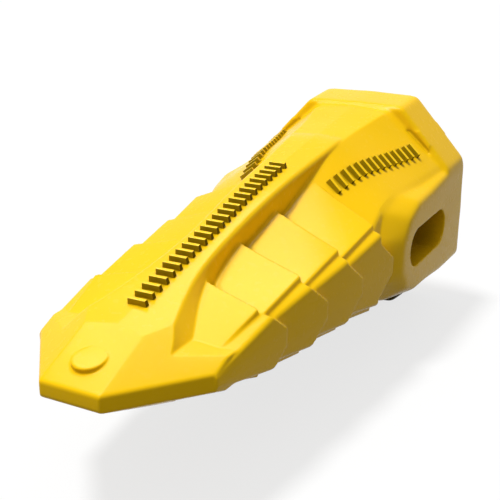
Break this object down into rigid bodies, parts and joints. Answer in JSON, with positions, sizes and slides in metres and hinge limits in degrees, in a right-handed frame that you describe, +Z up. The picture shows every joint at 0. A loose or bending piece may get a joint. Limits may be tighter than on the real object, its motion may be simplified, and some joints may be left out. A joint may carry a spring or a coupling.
{
  "type": "bucket tooth",
  "caption": "Cast rock tooth for an excavator bucket: faceted chisel nose, middle rib, overlapping scales, side pin slot and a tapered rear socket.",
  "frame": {"origin": "centre of the flat rear rim, at mid height of the side walls, where the socket opens", "axes": "+X from the rear rim towards the tip, +Y across the tooth along the pin slot, +Z up, with the disc mark on the upper side"},
  "size_m": [0.32, 0.128, 0.134],
  "materials": {
    "yellow_paint": "glossy"
  },
  "bodies": {
    "root": {"bucket_tooth": "yellow_paint"}
  },
  "joints": []
}
